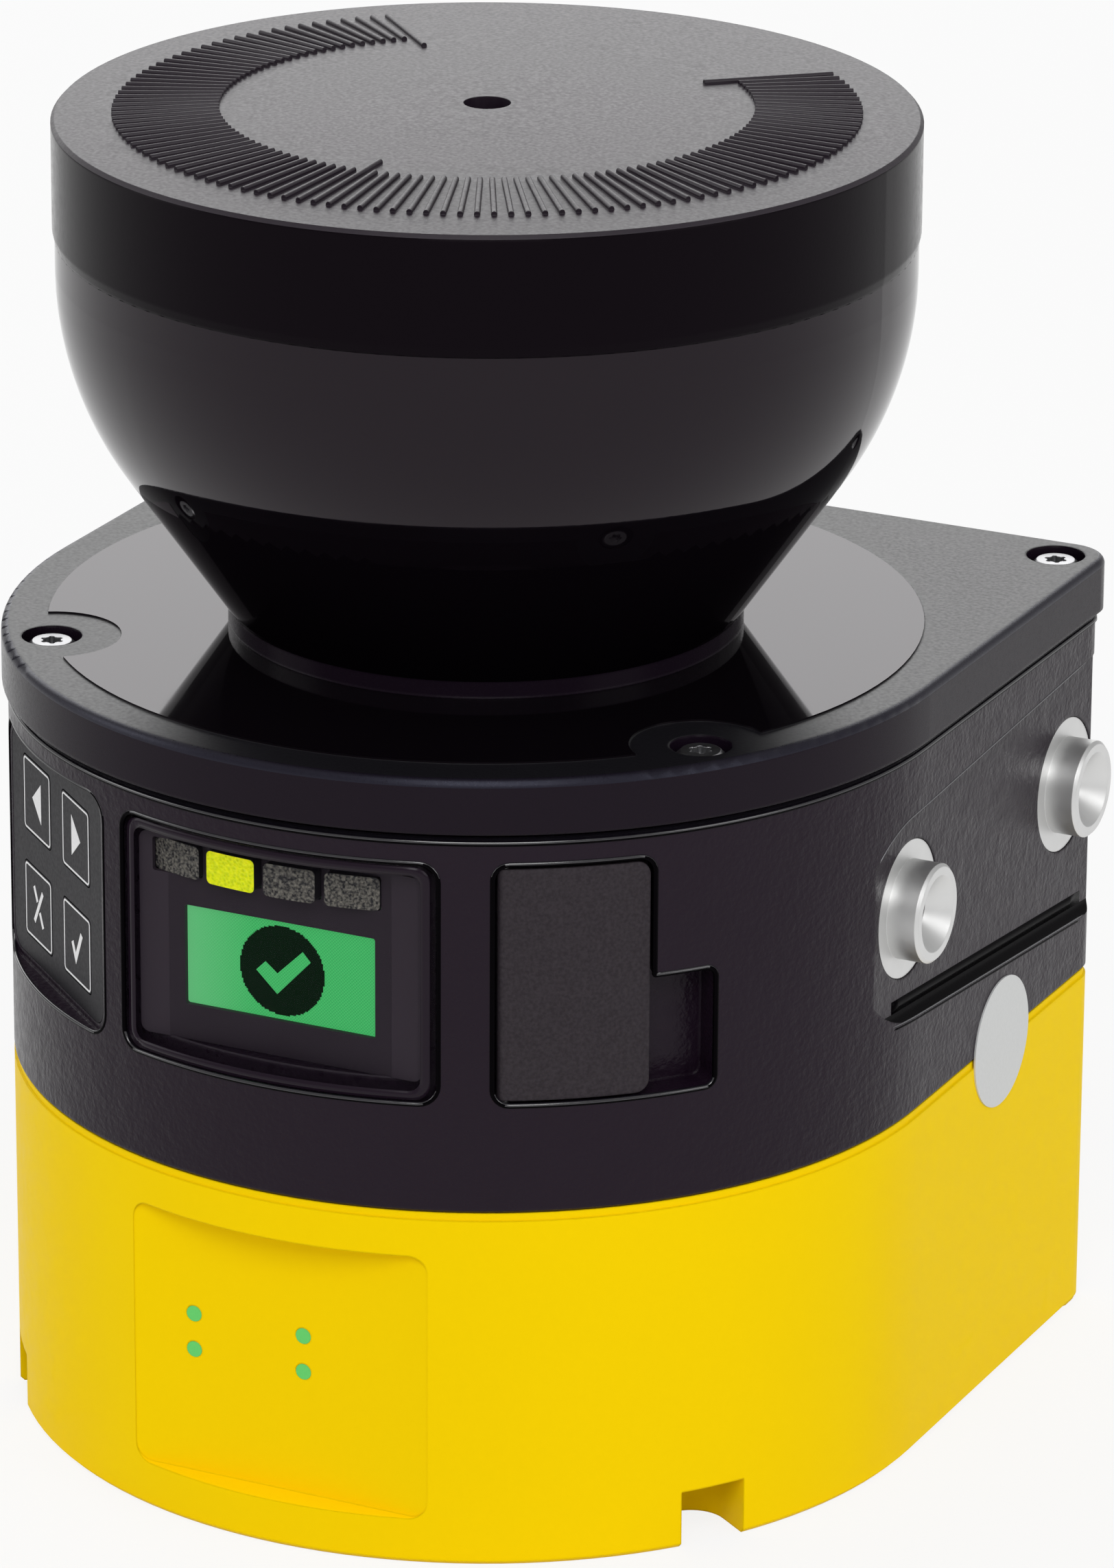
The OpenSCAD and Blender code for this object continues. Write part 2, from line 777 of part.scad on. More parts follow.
module port_socket() {
    color("silver") difference() {
        facing(port_angle, pocket_floor - socket_l, pocket_floor - 0.1, z_aperture)
            round_rect(socket_w, socket_h, 0.8);
        facing(port_angle, pocket_floor - socket_l + 1, pocket_floor + past, z_aperture)
            round_rect(socket_w - 2 * socket_wall, socket_h - 2 * socket_wall, 0.5);
    }
}

module port_tongue() {
    color("#202020") facing(port_angle, pocket_floor - socket_l + 1, pocket_floor - 1.5, z_aperture)
        square([socket_w - 2, 1], center = true);
}

module port_board() {
    color("darkgreen") rotate([0, 0, port_angle])
        translate([-8, -(pocket_floor - 3.5), z_aperture - socket_h / 2 - board_t])
            cube([16, 9, board_t]);
}

// ---------- hood and cap ----------

// Outer section of neck, cone, bowl and collar, drawn inwards by a wall thickness
module bowl_section(inset, top) {
    arc = bowl_arc_r - inset;
    waist = waist_r - inset;
    end_r = arc_x + arc * cos(cone_angle);
    end_z = z_arc - arc * sin(cone_angle);
    neck_z = end_z - (end_r - waist) / tan(cone_angle);
    polygon([[0, z_flange - past], [waist, z_flange - past], [waist, neck_z], [end_r, end_z],
        [(arc_x + end_r) / 2, z_arc], [0, z_arc]]);
    intersection() {
        translate([arc_x, z_arc]) circle(arc, $fn = 180);
        polygon([[arc_x, z_arc], [arc_x + 2 * arc * cos(cone_angle), z_arc - 2 * arc * sin(cone_angle)],
            [arc_x + 2 * arc, z_arc]]);
    }
    translate([0, z_arc]) square([arc_x + arc, top - z_arc]);
}

module flange_section() {
    translate([-flange_edge_w, 0]) square([flange_edge_w, flange_h - flange_round]);
    translate([-flange_edge_w, 0]) square([flange_edge_w - flange_round, flange_h]);
    translate([-flange_round, flange_h - flange_round]) circle(flange_round, $fn = 32);
}

module flange() {
    translate([0, 0, z_flange]) {
        d_sweep(flange_r, flange_back, corner_r) flange_section();
        linear_extrude(flange_h) d_outline(flange_r - flange_edge_w, flange_back - flange_edge_w,
            corner_r - flange_edge_w);
    }
    translate([0, 0, z_disc - disc_t - past]) linear_extrude(disc_t + past) difference() {
        circle(disc_r);
        for (place = screw_places) translate(place) circle(cutout_r);
    }
}

module optics_hood() {
    inner_top = z_band - 3;
    color("#141316") difference() {
        union() {
            flange();
            rotate_extrude() intersection() {
                bowl_section(0, z_band);
                translate([0, z_flange + 0.5]) square([2 * head_r, z_rim]);
            }
            translate([0, 0, z_band - past])
                cylinder(r = head_r - hood_wall - 0.45, h = spigot_h + past);
        }
        rotate_extrude() bowl_section(hood_wall, inner_top);
        translate([0, 0, inner_top - past])
            cylinder(r = head_r - hood_wall - 0.45 - spigot_w, h = z_rim);
        translate([0, 0, z_flange - past]) cylinder(r = hood_seat_r, h = past + flange_h - 2.6);
        at_screws() {
            translate([0, 0, z_disc - disc_t - head_pocket_d])
                cylinder(r = head_pocket_r, h = head_pocket_d + past);
            translate([0, 0, z_flange - past])
                cylinder(r = screw_shank_r + fit_gap, h = flange_h + 2 * past);
        }
    }
}

module cover_screws() {
    seat = z_disc - disc_t - head_pocket_d;
    color("silver") at_screws() {
        translate([0, 0, seat]) difference() {
            union() {
                cylinder(r = screw_head_r, h = screw_head_h - 0.5);
                translate([0, 0, screw_head_h - 0.5])
                    cylinder(r1 = screw_head_r, r2 = screw_head_r - 0.5, h = 0.5);
            }
            translate([0, 0, screw_head_h]) drive(1.2);
        }
        translate([0, 0, seat + 0.01 - cover_screw_l]) cylinder(r = screw_shank_r, h = cover_screw_l);
    }
}

// Height of the domed top above the rim at a distance from the axis
function dome_at(r) = dome_h * (1 - pow(r / head_r, 2));

module dome_section() {
    steps = 8;
    polygon(concat([[0, z_rim - past]],
        [[head_r - rim_edge, z_rim - past]],
        [for (k = [steps:-1:0]) [(head_r - rim_edge) * k / steps,
            z_rim + dome_at((head_r - rim_edge) * k / steps)]]));
}
rim_edge = 0.4;
hood_seat_r = 46.3;
band_edge = 1.15;

// One round-topped rib, lying along the slope of the dome
module rib(inner_r) {
    middle = (inner_r + rib_out_r) / 2;
    slope = atan(2 * dome_h * middle / pow(head_r, 2));
    translate([middle, 0, z_rim + dome_at(middle)]) rotate([0, slope, 0])
        rotate([90, 0, 90]) linear_extrude(rib_out_r - inner_r, center = true) {
            translate([0, rib_h - rib_w / 2]) circle(rib_w / 2, $fn = 16);
            translate([-rib_w / 2, -0.8]) square([rib_w, rib_h - rib_w / 2 + 0.8]);
        }
}

module head_cap() {
    skirt_in = head_r - hood_wall - 0.4;
    color("#1a191c") difference() {
        union() {
            translate([0, 0, z_band]) cylinder(r1 = bowl_r, r2 = head_r, h = band_edge);
            translate([0, 0, z_band + band_edge])
                cylinder(r = head_r, h = band_h - band_edge - rim_edge);
            translate([0, 0, z_rim - rim_edge])
                cylinder(r1 = head_r, r2 = head_r - rim_edge, h = rim_edge);
            rotate_extrude() dome_section();
            for (k = [0:rib_count - 1]) rotate([0, 0, -90 + rib_span * (k / (rib_count - 1) - 0.5)])
                rib(k % ((rib_count - 1) / 2) == 0 ? rib_in_r - marker_len : rib_in_r);
        }
        difference() {
            translate([0, 0, z_band - past])
                cylinder(r = skirt_in, h = band_h - cap_top_t + past);
            for (a = [90, 210, 330]) rotate([0, 0, a])
                translate([34, 0, z_receiver + receiver_t]) cylinder(r = 3, h = band_h);
        }
        translate([0, 0, z_rim - 1.5]) cylinder(r = vent_r, h = 2 * dome_h + 1.5);
    }
}

// ---------- optics and electronics inside ----------

module spindle_plate() {
    color("gray") translate([0, 0, z_deck]) difference() {
        union() {
            cylinder(r = hood_seat_r - 0.8, h = 2.4);
            cylinder(r = bearing_seat_r + 3, h = bearing_t + 0.6);
        }
        translate([0, 0, -past]) cylinder(r = bearing_seat_r, h = bearing_t + 3 * past);
    }
}

module motor_case() {
    color("dimgray") translate([0, 0, z_deck - case_h]) difference() {
        cylinder(r = case_r, h = case_h);
        translate([0, 0, bearing_t + past]) cylinder(r = case_r - case_wall, h = case_h);
        translate([0, 0, -past]) cylinder(r = lower_seat_r, h = case_h);
    }
}

module motor_stator() {
    color("peru") translate([0, 0, z_deck - case_h + 6]) difference() {
        cylinder(r = case_r - case_wall, h = stator_h);
        translate([0, 0, -past]) cylinder(r = case_r - case_wall - stator_t, h = stator_h + 2 * past);
    }
}

module motor_rotor() {
    color("gray") translate([0, 0, z_deck - case_h + 7]) difference() {
        cylinder(r = case_r - case_wall - stator_t - air_gap, h = rotor_h);
        translate([0, 0, -past]) cylinder(r = shaft_r, h = rotor_h + 2 * past);
    }
}

module spindle_shaft() {
    color("silver") translate([0, 0, z_deck - case_h - 2])
        cylinder(r = shaft_r, h = case_h + 2 + z_waist - z_deck);
}

module bearing(z, seat_r) {
    color("silver") translate([0, 0, z]) difference() {
        cylinder(r = seat_r, h = bearing_t);
        translate([0, 0, -past]) cylinder(r = shaft_r + run_gap, h = bearing_t + 2 * past);
    }
}

module bearing_upper() {
    bearing(z_deck, bearing_seat_r);
}

module bearing_lower() {
    bearing(z_deck - case_h, lower_seat_r);
}

// Everything below (or, with a thickness, a slab above) the 45 degree mirror plane
module mirror_plane(low, high) {
    translate([0, 0, z_mirror]) rotate([45, 0, 0])
        translate([-2 * mirror_r, -3 * mirror_r, low]) cube([4 * mirror_r, 6 * mirror_r, high - low]);
}

module mirror_carrier() {
    color("#2a2a2e") difference() {
        union() {
            intersection() {
                translate([0, 0, z_waist + 0.6]) cylinder(r = mirror_r, h = 3 * mirror_r);
                mirror_plane(-4 * mirror_r, 0);
            }
            translate([0, 0, z_waist - 4.6]) cylinder(r = 7, h = 5.4);
        }
        translate([0, 0, z_waist - 5.6]) cylinder(r = shaft_r, h = 5.6);
    }
}

module scan_mirror() {
    color("lightsteelblue") intersection() {
        translate([0, 0, z_waist]) cylinder(r = mirror_r - 0.5, h = 3 * mirror_r);
        mirror_plane(0, mirror_t);
    }
}

module receiver_plate() {
    color("darkgreen") translate([0, 0, z_receiver]) difference() {
        cylinder(r = head_r - hood_wall - 5.2, h = receiver_t);
        translate([0, 0, -past]) cylinder(r = 5, h = receiver_t + 2 * past);
    }
}

module receiver_lens() {
    color("lightcyan", 0.5) translate([0, 0, z_receiver - 3]) {
        cylinder(r = 15, h = 3);
        translate([0, 0, -2]) cylinder(r1 = 9, r2 = 15, h = 2);
    }
}

module laser_module() {
    color("goldenrod") translate([0, 0, z_receiver + receiver_t]) {
        cylinder(r = 6, h = 5.5);
        translate([0, 0, 5.49]) cylinder(r = 4, h = 2);
    }
}

module main_board() {
    half = front_screw_x - pillar_r - 2.1;
    color("darkgreen") translate([-half, -28, z_joint + deck_t + board_post])
        cube([2 * half, 56, board_t]);
}

module link_connector() {
    color("#202020") translate([-link_w / 2, -link_d / 2, z_joint - 8])
        cube([link_w, link_d, 8 + deck_t + board_post]);
}

base_housing();
base_gasket();
sensor_housing();
hood_gasket();
optics_hood();
head_cap();
cover_screws();
base_screws();
display_window();
lcd_panel();
for (i = [1:4])
    light_lens(i);
display_board();
keypad_panel();
for (k = [0:3])
    key(k);
keypad_board();
port_cover();
port_hinge_pin();
port_socket();
port_tongue();
port_board();
side_bush(1, 0);  // side_bush_right_front
side_bush(1, 1);  // side_bush_right_rear
side_bush(-1, 0);  // side_bush_left_front
side_bush(-1, 1);  // side_bush_left_rear
seal_disc();
status_lights();
for (i = [1:3]) {
    connector_shell(i);
    connector_insert(i);
    connector_pins(i);
}
connector_nuts();
network_board();
main_board();
link_connector();
spindle_plate();
motor_case();
motor_stator();
motor_rotor();
spindle_shaft();
bearing_upper();
bearing_lower();
mirror_carrier();
scan_mirror();
receiver_plate();
receiver_lens();
laser_module();
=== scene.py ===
import math

import bmesh
import bpy
from mathutils import Matrix, Vector


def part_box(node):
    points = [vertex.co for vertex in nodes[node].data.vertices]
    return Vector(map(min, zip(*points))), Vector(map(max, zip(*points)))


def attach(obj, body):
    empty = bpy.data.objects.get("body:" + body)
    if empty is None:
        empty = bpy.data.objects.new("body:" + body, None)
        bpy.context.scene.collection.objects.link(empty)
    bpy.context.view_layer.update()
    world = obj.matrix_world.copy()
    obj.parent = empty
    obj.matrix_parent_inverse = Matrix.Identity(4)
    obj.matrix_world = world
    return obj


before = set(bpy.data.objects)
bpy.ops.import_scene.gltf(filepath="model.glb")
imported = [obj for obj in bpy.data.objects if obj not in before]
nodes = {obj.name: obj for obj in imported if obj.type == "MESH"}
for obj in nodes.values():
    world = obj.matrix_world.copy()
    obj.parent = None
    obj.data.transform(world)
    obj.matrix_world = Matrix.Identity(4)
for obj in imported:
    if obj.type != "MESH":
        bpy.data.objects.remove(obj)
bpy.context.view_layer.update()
MM = 0.001


# ---------------------------------------------------------------- materials

def shader(mat):
    return mat.node_tree.nodes["Principled BSDF"]


def new_material(name, color, rough, metal=0.0, ior=1.35, alpha=1.0, tint=None):
    mat = bpy.data.materials.new(name)
    mat.use_nodes = True
    b = shader(mat)
    b.inputs["Base Color"].default_value = (*color, 1)
    b.inputs["Roughness"].default_value = rough
    b.inputs["Metallic"].default_value = metal
    b.inputs["IOR"].default_value = ior
    b.inputs["Alpha"].default_value = alpha
    if tint:
        b.inputs["Specular Tint"].default_value = (*tint, 1)
    return mat


def place(mat):
    """Object coordinates of the piece, in metres."""
    n = mat.node_tree.nodes
    found = n.get("place")
    if not found:
        found = n.new("ShaderNodeTexCoord")
        found.name = "place"
    return found.outputs["Object"]


def noise(mat, scale, detail=2.0, stretch=None):
    tree = mat.node_tree
    tex = tree.nodes.new("ShaderNodeTexNoise")
    tex.inputs["Scale"].default_value = scale
    tex.inputs["Detail"].default_value = detail
    source = place(mat)
    if stretch:
        mapping = tree.nodes.new("ShaderNodeMapping")
        mapping.inputs["Scale"].default_value = stretch
        tree.links.new(source, mapping.inputs["Vector"])
        source = mapping.outputs["Vector"]
    tree.links.new(source, tex.inputs["Vector"])
    return tex.outputs["Fac"]


def voronoi(mat, scale):
    tree = mat.node_tree
    tex = tree.nodes.new("ShaderNodeTexVoronoi")
    tex.inputs["Scale"].default_value = scale
    tree.links.new(place(mat), tex.inputs["Vector"])
    return tex.outputs["Distance"]


def remap(mat, value, low, high, to_low, to_high):
    tree = mat.node_tree
    m = tree.nodes.new("ShaderNodeMapRange")
    for name, v in (("From Min", low), ("From Max", high), ("To Min", to_low), ("To Max", to_high)):
        m.inputs[name].default_value = v
    tree.links.new(value, m.inputs["Value"])
    return m.outputs["Result"]


def vary_color(mat, value, dark, light, socket="Base Color"):
    tree = mat.node_tree
    mix = tree.nodes.new("ShaderNodeMix")
    mix.data_type = "RGBA"
    mix.inputs["A"].default_value = (*dark, 1)
    mix.inputs["B"].default_value = (*light, 1)
    tree.links.new(value, mix.inputs["Factor"])
    tree.links.new(mix.outputs["Result"], shader(mat).inputs[socket])


def vary_rough(mat, value, low, high):
    mat.node_tree.links.new(remap(mat, value, 0.3, 0.7, low, high), shader(mat).inputs["Roughness"])


def bump(mat, value, strength, distance, soft_edge=0.0):
    tree = mat.node_tree
    node = tree.nodes.new("ShaderNodeBump")
    node.inputs["Strength"].default_value = strength
    node.inputs["Distance"].default_value = distance
    tree.links.new(value, node.inputs["Height"])
    if soft_edge:
        edge = tree.nodes.new("ShaderNodeBevel")
        edge.samples = 4
        edge.inputs["Radius"].default_value = soft_edge
        tree.links.new(edge.outputs["Normal"], node.inputs["Normal"])
    tree.links.new(node.outputs["Normal"], shader(mat).inputs["Normal"])


def scaled(color, k):
    return tuple(min(1.0, c * k) for c in color)


def coated(name, color, rough, grain, height, spread=0.06, soft_edge=0.0003, strength=0.5, detail=2.0,
           ior=1.35, tint=None):
    """Powder coat or moulded plastic: fine orange peel, slightly uneven colour and gloss."""
    mat = new_material(name, color, rough, ior=ior, tint=tint)
    patch = noise(mat, 60, 3)
    vary_color(mat, patch, scaled(color, 1 - spread), scaled(color, 1 + spread))
    vary_rough(mat, noise(mat, grain * 0.4, 2), rough - 0.05, rough + 0.05)
    bump(mat, noise(mat, grain, detail), strength, height, soft_edge)
    return mat


def lumps(mat, scale, strength, distance):
    """Wide, soft lumps under the fine grain, as in a thick sprayed coat."""
    tree = mat.node_tree
    fine = next(n for n in tree.nodes if n.type == "BUMP")
    wide = tree.nodes.new("ShaderNodeBump")
    wide.inputs["Strength"].default_value = strength
    wide.inputs["Distance"].default_value = distance
    tree.links.new(noise(mat, scale, 1.0), wide.inputs["Height"])
    if fine.inputs["Normal"].is_linked:
        tree.links.new(fine.inputs["Normal"].links[0].from_socket, wide.inputs["Normal"])
    tree.links.new(wide.outputs["Normal"], fine.inputs["Normal"])


def metal(name, color, rough, rings=None):
    """Machined metal: lathe rings about an axis, or fine grain."""
    mat = new_material(name, color, rough, metal=1.0)
    patch = noise(mat, 250, 3)
    vary_color(mat, patch, scaled(color, 0.95), scaled(color, 1.03))
    vary_rough(mat, noise(mat, 600, 2), rough - 0.02, rough + 0.03)
    bump(mat, noise(mat, 2600, 2, stretch=rings), 0.12, 0.000012, 0.00015)
    return mat


YELLOW = (0.97, 0.67, 0.0015)
BLACK = (0.0110, 0.0050, 0.0118)
WARM_GLINT = (1.0, 0.84, 0.96)
COOL_GLINT = (0.72, 0.76, 1.0)

yellow = coated("yellow_powder_coat", YELLOW, 0.42, 1500, 0.00004, spread=0.012, soft_edge=0.0004, strength=0.30,
                ior=1.1, tint=(1.0, 0.72, 0.05))
black = coated("black_powder_coat", BLACK, 0.30, 1500, 0.00012, soft_edge=0.0005, strength=0.8, ior=1.25)
lumps(black, 420, 0.45, 0.00016)
cap_black = coated("cap_powder_coat", BLACK, 0.42, 5200, 0.000014, soft_edge=0.00015, strength=0.28, ior=1.5)
cap_side = coated("cap_side_coat", (0.0022, 0.0011, 0.0024), 0.16, 2600, 0.00002, soft_edge=0.0005, strength=0.3,
                  ior=1.15, tint=WARM_GLINT)

# The hood: polished bowl and disc, a less reflective copy of the gloss low on the bowl as painted shade, and a
# satin flange
gloss = new_material("hood_gloss", (0.0030, 0.0020, 0.0032), 0.035, ior=1.34, tint=WARM_GLINT)
vary_rough(gloss, noise(gloss, 120, 2), 0.02, 0.05)
bump(gloss, noise(gloss, 35, 1), 0.02, 0.0003)
# Low part of the bowl: the same gloss made to reflect less, as painted shade
gloss_shaded_low = new_material("hood_gloss_low_shade", (0.0028, 0.0018, 0.0030), 0.035, ior=1.05)
SATIN = dict(grain=5200, height=0.000012, strength=0.3)
matte_hood = coated("hood_matte", (0.008, 0.0075, 0.0095), 0.34, soft_edge=0.0005, **SATIN)
# Flange side and neck wall: a copy of the satin that reflects less, as painted shade
hood_side = coated("hood_side", (0.0085, 0.0045, 0.0095), 0.25, soft_edge=0.0005, ior=1.2, **SATIN)
# Flange's rounded top edge: a more reflective, blue-tinted copy of the satin, as a painted highlight
hood_round = coated("hood_round", (0.006, 0.004, 0.008), 0.3, soft_edge=0.0008, ior=1.4, tint=COOL_GLINT, **SATIN)

seal = coated("seal_rubber", (0.004, 0.004, 0.004), 0.7, 3000, 0.00003)
film = coated("keypad_film", (0.013, 0.012, 0.015), 0.46, 6000, 0.000008, soft_edge=0.0, strength=0.3, ior=1.2)
rubber = coated("cover_rubber", (0.0205, 0.0150, 0.0195), 0.62, 3800, 0.00006, soft_edge=0.0004, strength=0.7,
                detail=4.0)
vary_color(rubber, remap(rubber, noise(rubber, 2600, 3), 0.35, 0.8, 0.0, 1.0),
           (0.0150, 0.0102, 0.0142), (0.032, 0.025, 0.031))
aluminium = metal("turned_aluminium", (0.70, 0.70, 0.695), 0.44, rings=(3, 0.02, 0.02))
steel = metal("screw_steel", (0.42, 0.42, 0.43), 0.34)
nickel = metal("nickel", (0.66, 0.64, 0.60), 0.25)
gold = metal("gold_contact", (0.85, 0.60, 0.22), 0.22)
motor_steel = metal("motor_steel", (0.45, 0.45, 0.46), 0.35)
copper = metal("copper_stack", (0.70, 0.36, 0.18), 0.38)
foil = new_material("seal_foil", (0.56, 0.56, 0.585), 0.34, metal=0.25)
vary_color(foil, noise(foil, 2200, 3), (0.59, 0.60, 0.60), (0.66, 0.67, 0.67))
bump(foil, noise(foil, 500, 2), 0.15, 0.00004)
insulator = coated("insulator", (0.012, 0.012, 0.013), 0.45, 2500, 0.00002)
carrier = coated("carrier_plastic", (0.02, 0.02, 0.023), 0.5, 2500, 0.00003)
mirror = new_material("front_mirror", (0.92, 0.93, 0.94), 0.02, metal=1.0)
vary_rough(mirror, noise(mirror, 200, 2), 0.01, 0.03)
lens = new_material("receiver_lens", (0.80, 0.86, 0.90), 0.04, alpha=0.4)
vary_rough(lens, noise(lens, 200, 2), 0.02, 0.06)
board = new_material("circuit_board", (0.015, 0.13, 0.06), 0.35)
vary_color(board, voronoi(board, 420), (0.010, 0.085, 0.04), (0.03, 0.19, 0.085))
bump(board, voronoi(board, 420), 0.2, 0.00005)

# Painted light on the coat's edges and in the recesses beside them: a glossier copy of the black coat for painted
# highlights, a near-black copy for painted shade, and grey metal for thin painted highlight lines
# Glossier copy of the black coat: painted highlight on edges and bead tops
highlight_gloss = new_material("highlight_gloss", (0.006, 0.005, 0.008), 0.16, ior=1.75)
vary_rough(highlight_gloss, noise(highlight_gloss, 900, 2), 0.12, 0.22)
bump(highlight_gloss, noise(highlight_gloss, 700, 2), 0.3, 0.00004)
# Near-black copy of the coat: painted shade in the ledges and under the beads
painted_shade_black = new_material("painted_shade_black", (0.0012, 0.0008, 0.0014), 0.25, ior=1.08)
vary_rough(painted_shade_black, noise(painted_shade_black, 900, 2), 0.2, 0.3)
# Grey metal: thin painted highlight lines
painted_highlight_line = new_material("painted_highlight_line", (0.20, 0.20, 0.21), 0.3, metal=1.0)
vary_rough(painted_highlight_line, noise(painted_highlight_line, 900, 2), 0.25, 0.4)

window = new_material("smoked_window", (0.012, 0.010, 0.014), 0.03, ior=1.05, alpha=0.15)
vary_rough(window, noise(window, 90, 2), 0.02, 0.05)

# Backlit screen: fine dot grid, paler towards its left side
lit_green = new_material("lcd_lit", (0.02, 0.20, 0.06), 0.3, ior=1.2)
shader(lit_green).inputs["Emission Strength"].default_value = 0.98
tree = lit_green.node_tree
grid = tree.nodes.new("ShaderNodeTexChecker")
grid.inputs["Scale"].default_value = 5200
grid.inputs["Color1"].default_value = (0.075, 0.53, 0.150, 1)
grid.inputs["Color2"].default_value = (0.040, 0.37, 0.100, 1)
tree.links.new(place(lit_green), grid.inputs["Vector"])
parts = tree.nodes.new("ShaderNodeSeparateXYZ")
tree.links.new(place(lit_green), parts.inputs[0])
pale = tree.nodes.new("ShaderNodeMix")
pale.data_type = "RGBA"
tree.links.new(remap(lit_green, parts.outputs["X"], -0.0125, -0.0035, 0.9, 0.0), pale.inputs["Factor"])
tree.links.new(grid.outputs["Color"], pale.inputs["A"])
pale.inputs["B"].default_value = (0.155, 0.53, 0.225, 1)
tree.links.new(pale.outputs["Result"], shader(lit_green).inputs["Emission Color"])

lcd_dark = new_material("lcd_dark", (0.0006, 0.016, 0.003), 0.4, ior=1.15)
vary_color(lcd_dark, noise(lcd_dark, 4000, 2), (0.0004, 0.012, 0.002), (0.0008, 0.020, 0.004))


def lens_material(name, dark, light, glow):
    """Pebbled light lens with bright facets."""
    mat = new_material(name, light, 0.25)
    cells = voronoi(mat, 2600)
    vary_color(mat, remap(mat, noise(mat, 3000, 4), 0.38, 0.72, 0.0, 1.0), dark, light)
    bump(mat, cells, 0.9, 0.0002)
    if glow:
        shader(mat).inputs["Emission Strength"].default_value = glow
        vary_color(mat, remap(mat, cells, 0.15, 0.75, 0.0, 1.0), (0.44, 0.54, 0.0), (0.78, 0.75, 0.0),
                   "Emission Color")
    return mat


light_off = lens_material("light_lens_off", (0.024, 0.024, 0.028), (0.36, 0.34, 0.29), 0)
light_on = lens_material("light_lens_on", (0.30, 0.40, 0.0), (0.45, 0.60, 0.0), 0.95)
status_green = new_material("status_green", (0.10, 0.50, 0.12), 0.3)
shader(status_green).inputs["Emission Color"].default_value = (0.10, 0.52, 0.10, 1)
shader(status_green).inputs["Emission Strength"].default_value = 0.25
vary_rough(status_green, noise(status_green, 900, 2), 0.25, 0.4)
print_grey = new_material("key_print", (0.46, 0.46, 0.47), 0.5)
vary_color(print_grey, noise(print_grey, 3000, 2), (0.78, 0.78, 0.79), (0.90, 0.90, 0.91))
mask_black = new_material("display_mask", (0.036, 0.027, 0.0375), 0.45, ior=1.25)
vary_color(mask_black, noise(mask_black, 60, 2), (0.032, 0.024, 0.033), (0.040, 0.030, 0.042))
frame_black = new_material("display_frame", (0.075, 0.072, 0.080), 0.3)
vary_rough(frame_black, noise(frame_black, 90, 2), 0.25, 0.4)
border_black = new_material("window_border", (0.011, 0.0055, 0.012), 0.2, ior=1.25)
vary_rough(border_black, noise(border_black, 90, 2), 0.15, 0.25)


def paint(mat, *names):
    for name in names:
        slots = nodes[name].data.materials
        slots.clear()
        slots.append(mat)


def corners_of(data, face):
    return [data.vertices[v].co for v in face.vertices]


def middle(points):
    return sum(points, Vector()) / len(points)


def numbered(stem, last):
    return [f"{stem}_{i}" for i in range(1, last + 1)]


paint(yellow, "base_housing")
paint(seal, "base_gasket", "hood_gasket")
paint(black, "sensor_housing")
paint(cap_black, "head_cap")
paint(gloss, "optics_hood")
paint(steel, "cover_screws", "base_screws", "port_hinge_pin", "spindle_shaft", "bearing_upper", "bearing_lower")
paint(window, "display_window")
paint(lit_green, "lcd_panel")
paint(light_off, "light_lens_1", "light_lens_3", "light_lens_4")
paint(light_on, "light_lens_2")
paint(board, "display_board", "keypad_board", "port_board", "network_board", "main_board", "receiver_plate")
paint(film, "keypad_panel", "key_previous", "key_next", "key_cancel", "key_confirm")
paint(rubber, "port_cover")
paint(nickel, "port_socket", "connector_nuts", *numbered("connector_shell", 3))
paint(insulator, "port_tongue", "link_connector", *numbered("connector_insert", 3))
paint(gold, "laser_module", *numbered("connector_pins", 3))
paint(aluminium, "side_bush_right_front", "side_bush_right_rear", "side_bush_left_front", "side_bush_left_rear",
      "spindle_plate")
paint(foil, "seal_disc")
paint(status_green, "status_lights")
paint(motor_steel, "motor_case", "motor_rotor")
paint(copper, "motor_stator")
paint(carrier, "mirror_carrier")
paint(mirror, "scan_mirror")
paint(lens, "receiver_lens")

# The cap's upright band is glossier than its top
cap = nodes["head_cap"].data
cap.materials.append(cap_side)
rim_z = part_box("head_cap")[1].z - 0.0024
for face in cap.polygons:
    centre = middle(corners_of(cap, face))
    if abs(face.normal.z) < 0.6 and math.hypot(centre.x, centre.y) > 0.04 and centre.z < rim_z:
        face.material_index = 1

# The lamp lenses' sides are painted dark, as painted shade
for name in numbered("light_lens", 4):
    data = nodes[name].data
    data.materials.append(insulator)
    for face in data.polygons:
        if face.normal.y > -0.7:
            face.material_index = 1

# A glossier copy of the coat on the housing's upper edge gives a painted highlight, and a near-black copy in the
# ledge below each side recess is painted shade
housing = nodes["sensor_housing"].data
housing.materials.append(highlight_gloss)
housing.materials.append(painted_shade_black)
housing_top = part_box("sensor_housing")[1].z
EDGE_H = 0.0007
LEDGE_X = (0.0542, 0.0553)
LEDGE_Z = (0.046, 0.0595)
for face in housing.polygons:
    points = corners_of(housing, face)
    centre = middle(points)
    if 0.4 < face.normal.z < 0.95 and min(p.z for p in points) > housing_top - EDGE_H:
        face.material_index = 1
    if (LEDGE_X[0] < abs(centre.x) < LEDGE_X[1] and LEDGE_Z[0] < centre.z < LEDGE_Z[1]
            and face.normal.z > 0.15):
        face.material_index = 2

